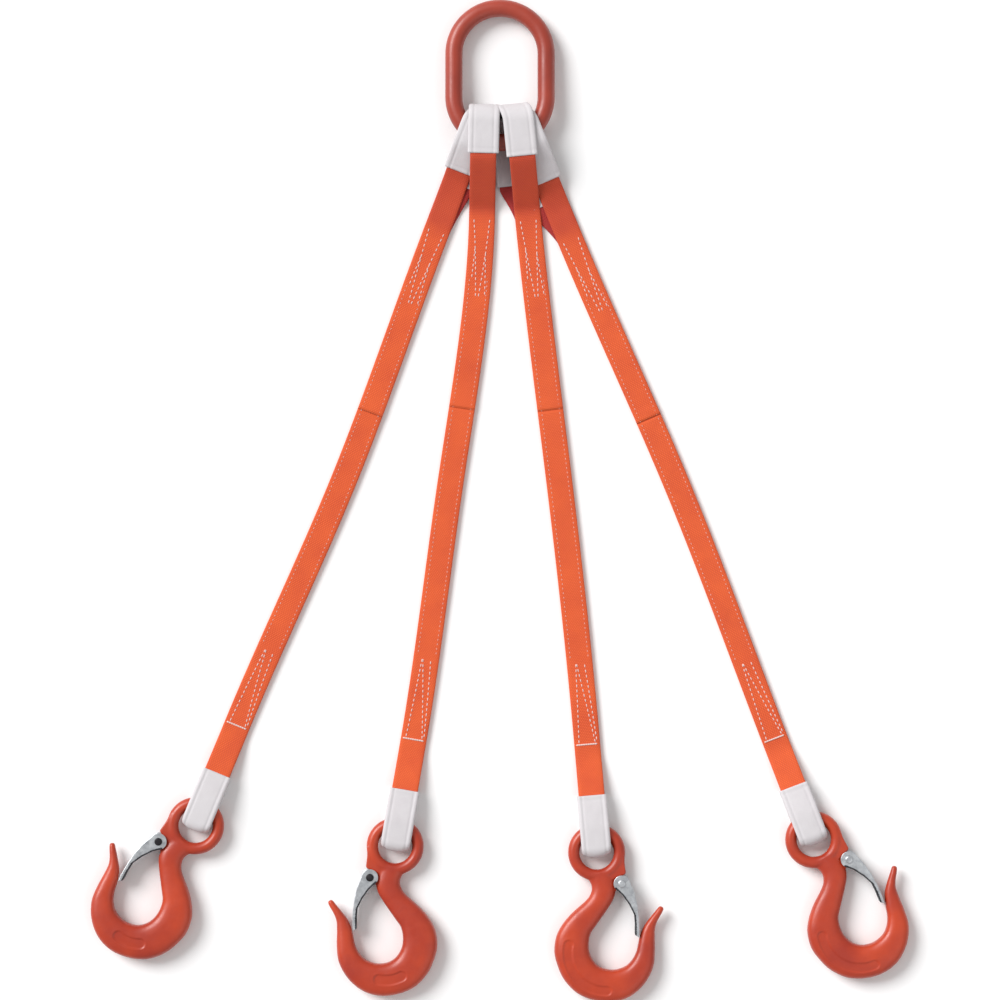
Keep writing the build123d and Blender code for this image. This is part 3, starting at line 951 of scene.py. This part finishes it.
def sink(mesh, slot, face):
    """Presses a curved panel into one face of the bowl."""
    radius, width, first, sweep_angle = slot
    ends = []
    for a in (radians(first), radians(first + sweep_angle)):
        ends.append((BOWL_CENTRE[0] + radius * cos(a), BOWL_CENTRE[1] + radius * sin(a)))
    middle = radians(first + sweep_angle / 2)
    for vert in mesh.vertices:
        if vert.normal.z * face < PANEL_FACING:
            continue
        x, y = vert.co.x / MM - BOWL_CENTRE[0], vert.co.y / MM - BOWL_CENTRE[1]
        turn = (atan2(y, x) - middle + pi) % (2 * pi) - pi
        if abs(turn) <= radians(sweep_angle / 2):
            away = abs(hypot(x, y) - radius)
        else:
            away = min(hypot(vert.co.x / MM - ex, vert.co.y / MM - ey) for ex, ey in ends)
        t = min(max((width / 2 - away) / PANEL_WALL, 0), 1)
        lip = max(0.0, 1 - abs(away - width / 2 - LIP_AT) / LIP_W) * LIP_H
        vert.co.z -= face * (PANEL_DEPTH * t * t * (3 - 2 * t) - lip) * MM


MERGE_WITHIN = 1e-6  # metres
# inner edge of the latch between its two cheeks, and how near it the rolled rim reaches (mm);
# faces that near it get the near-black painted shadow
LATCH_INNER = [
    (-22.8, -83.6),
    (-24.6, -74.0),
    (-25.4, -65.0),
    (-22.2, -54.0),
    (-17.4, -44.0),
    (-12.2, -37.0),
]
RIM = 1.5


def latch_copy(back):
    """The model's latch in hook axes, its doubled vertices joined."""
    mesh = frame["nodes"]["hook_1_latch"].data.copy()
    mesh.transform(back)
    bm = bmesh.new()
    bm.from_mesh(mesh)
    bmesh.ops.remove_doubles(bm, verts=bm.verts, dist=MERGE_WITHIN)
    bm.to_mesh(mesh)
    bm.free()
    mesh.materials.clear()
    return mesh


def paint_rim_shadow(mesh):
    """Second material, near black, on the latch's rolled inner edges: painted shadow where the
    channel's inside lies in shade.
    """
    for face in mesh.polygons:
        x, y = face.center.x / MM, face.center.y / MM
        for (ax, ay), (bx, by) in zip(LATCH_INNER, LATCH_INNER[1:]):
            dx, dy = bx - ax, by - ay
            t = min(max(((x - ax) * dx + (y - ay) * dy) / hypot(dx, dy) ** 2, 0), 1)
            if hypot(x - ax - dx * t, y - ay - dy * t) < RIM:
                face.material_index = 1


LATHE_SIDES = 32


def lathe(name, profile, *materials):
    """Round piece about Z from (radius, z) pairs in mm."""
    bm = bmesh.new()
    rings = []
    for r, z in profile:
        ring = []
        for k in range(LATHE_SIDES):
            a = 2 * pi * k / LATHE_SIDES
            ring.append(bm.verts.new((r * MM * cos(a), r * MM * sin(a), z * MM)))
        rings.append(ring)
    skin(bm, rings)
    cap(bm, rings)
    face_out(bm)
    return as_mesh(bm, name, *materials)


def pin_mesh():
    """The latch's pin: a near-black head on the front, painted shade that stands in for the dark
    pin hole, and a bright zinc one on the back.
    """
    reach = LATCH_W / 2 + 0.3
    head = PIN_HEAD_D / 2
    top = [
        (PIN_D / 2, reach - 0.05),
        (head - 0.3, reach),
        (head, reach + 0.3),
        (head - 0.2, reach + 0.7),
        (head - 1.2, reach + 0.95),
        (0.4, reach + 1.0),
    ]
    bottom = [(r, -z) for r, z in top][::-1]
    mesh = lathe("pin", bottom + top, PIN_HOLE_SHADE, ZINC)
    for face in mesh.polygons:
        face.material_index = 1 if face.center.z < 0 else 0
    mesh.transform(Matrix.Translation((PIN_AT[0] * MM, PIN_AT[1] * MM, 0)))
    return mesh


# the coil's turns, steps in a turn, radius, lowest height and rise
COIL_TURNS, COIL_STEPS, COIL_R, COIL_LOW, COIL_RISE = 2, 20, 3.1, 3.9, 1.15
ARM_REACH, ARM_LEAN, ARM_PLACES = 19, 0.3, (1.0, 0.75, 0.5, 0.25, 0.08)
WIRE_R, WIRE_SIDES = 0.45, 10


def spring_mesh():
    """Wound wire round the pin with one arm along the latch."""
    coil = []
    for i in range(COIL_TURNS * COIL_STEPS + 1):
        a = pi + 2 * pi * (i / COIL_STEPS)
        high = COIL_LOW + COIL_RISE * i / (COIL_TURNS * COIL_STEPS)
        coil.append((PIN_AT[0] + COIL_R * cos(a), PIN_AT[1] + COIL_R * sin(a), high))
    x, y, z = coil[0]
    arm = [(x - ARM_LEAN * t, y - ARM_REACH * t, z) for t in ARM_PLACES]
    points = [Vector(p) * MM for p in arm + coil]
    wire = []
    for k in range(WIRE_SIDES):
        a = 2 * pi * k / WIRE_SIDES
        wire.append((WIRE_R * MM * cos(a), WIRE_R * MM * sin(a)))
    bm = bmesh.new()
    cap(bm, sweep(bm, frames_along(points, [UP] * len(points)), wire))
    face_out(bm)
    return as_mesh(bm, "spring", SPRING_STEEL)


# ---- build -------------------------------------------------------------------------------
DRIFT_POWER = 1.3


def no_shift(_):
    return 0.0


def skewed(amount, reach):
    """Sideways drift of an eye's under ply that grows from the fold to its full amount."""
    return lambda s: amount * min(s / reach, 1.0) ** DRIFT_POWER


BACK_SHIFT = {1: skewed(6.0, 42.0), 2: no_shift, 3: skewed(-12.0, 30.0), 4: skewed(-9.5, 28.0)}
BACK_MOUTH = {1: 46.0, 2: 46.0, 3: 31.0, 4: 37.0}  # where the upper sleeve's under side starts
UPPER_SEED, LOWER_SEED = 3.1, 7.7  # where each leg's sleeves sample the creases

for leg in LEGS:
    belt = Belt(leg)
    lap = belt.length * LAP_AT
    up_way, down_way = -upper_heading(leg), lower_heading(leg)
    upper_side, lower_side = upper_eye_side(leg), lower_eye_side()
    upper_web = make_web(
        f"leg_{leg}_upper_web", belt, 0, lap, upper_side, up_way,
        BACK_SHIFT[leg],
    )
    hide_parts(f"leg_{leg}_upper_eye_webbing", f"leg_{leg}_sewn_webbing")
    lower_web = make_web(
        f"leg_{leg}_lower_web", belt, belt.length, lap, lower_side, down_way,
        no_shift,
    )
    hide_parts(f"leg_{leg}_lower_eye_webbing")
    make_sleeve(
        f"leg_{leg}_upper_cover", f"leg_{leg}_upper_sleeve", upper_side, belt.points[0], up_way,
        (BACK_MOUTH[leg], UPPER_EYE[leg] - UPPER_SLEEVE[leg]), "eye_bundle",
        leg * UPPER_SEED, BACK_SHIFT[leg],
    )
    make_sleeve(
        f"leg_{leg}_lower_cover", f"leg_{leg}_lower_sleeve", lower_side, belt.points[2], down_way,
        (LOWER_EYE_END - LOWER_SLEEVE,) * 2, f"lower_eye_{leg}", leg * LOWER_SEED, no_shift,
    )
    make_stitches(leg, belt)

to_hook = hook_matrix(1).inverted()
body_mesh = evened(hook_shells(), "hook_forging", BODY_EVEN)
sink(body_mesh, PAD_SLOT, 1)
sink(body_mesh, PANEL_SLOT, -1)
body_mesh.materials.append(HOOK_PAINT)
latch_mesh = evened(latch_copy(to_hook), "latch_pressing", LATCH_EVEN)
latch_mesh.materials.append(ZINC)
# second slot: near-black painted shadow on the latch's rolled inner rim
latch_mesh.materials.append(LATCH_RIM_SHADOW)
paint_rim_shadow(latch_mesh)
pins, springs = pin_mesh(), spring_mesh()
for leg in LEGS:
    for mesh, kind, body, slot in (
        (body_mesh, "body", "hook", "enamel"),
        (latch_mesh, "latch", "latch", "zinc"),
        (pins, "pin", "hook", "pin_steel"),
        (springs, "spring", "latch", "spring_steel"),
    ):
        placed = mesh.copy()
        placed.transform(hook_matrix(leg))
        piece = new_object(f"hook_{leg}_{kind}_mesh", placed)
        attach(piece, f"{body}_{leg}")
        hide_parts(f"hook_{leg}_{kind}")

link = frame["nodes"]["master_link"]
for held in link.material_slots:
    held.material = LINK_PAINT

# ---- floor, light and camera -------------------------------------------------------------
FLOOR_HALF, FLOOR_GAP = 4.0, 0.0005
SUN_POWER, SUN_ANGLE, SUN_WAY = 3.1, 32, (1.15, -0.85, -1.15)
FILL_POWER, FILL_SIZE, FILL_PLACE = 8, 2.0, (1.6, -1.4, 2.6)
SKY, SKY_POWER = (1.0, 1.0, 1.0, 1.0), 0.5
VIEW_WIDTH, LENS, SENSOR, FARTHEST = 0.96, 135.0, 36.0, 30
CAMERA_X, CAMERA_Y = 0.00018, 0.00078


def turned_to(way):
    """Rotation that makes a lamp shine along a direction."""
    return way.to_track_quat("-Z", "Y").to_euler()


floor_mesh = bpy.data.meshes.new("floor")
corners = [(-1, -1), (1, -1), (1, 1), (-1, 1)]
floor_mesh.from_pydata(
    [(x * FLOOR_HALF, y * FLOOR_HALF, 0) for x, y in corners], [], [(0, 1, 2, 3)]
)
floor_mesh.materials.append(FLOOR)
floor = new_object("floor", floor_mesh)
floor.location.z = CAD_BOX[0][2] - FLOOR_GAP

sun = bpy.data.lights.new("key", "SUN")
sun.energy = SUN_POWER
sun.angle = radians(SUN_ANGLE)
key = new_object("key", sun)
key.rotation_euler = turned_to(Vector(SUN_WAY))

panel = bpy.data.lights.new("fill", "AREA")
panel.size = FILL_SIZE
panel.energy = FILL_POWER
fill = new_object("fill", panel)
fill.location = FILL_PLACE
fill.rotation_euler = turned_to(-Vector(FILL_PLACE))

world = bpy.data.worlds.new("studio")
world.use_nodes = True
sky = world.node_tree.nodes["Background"]
sky.inputs[0].default_value = SKY
sky.inputs[1].default_value = SKY_POWER
bpy.context.scene.world = world
bpy.context.scene.view_settings.view_transform = "Standard"

camera_data = bpy.data.cameras.new("camera")
camera_data.lens = LENS
camera_data.sensor_width = SENSOR
camera_data.clip_end = FARTHEST
camera = new_object("camera", camera_data)
camera.location = (CAMERA_X, CAMERA_Y, VIEW_WIDTH * LENS / SENSOR + HOOK_Z * MM)
bpy.context.scene.camera = camera
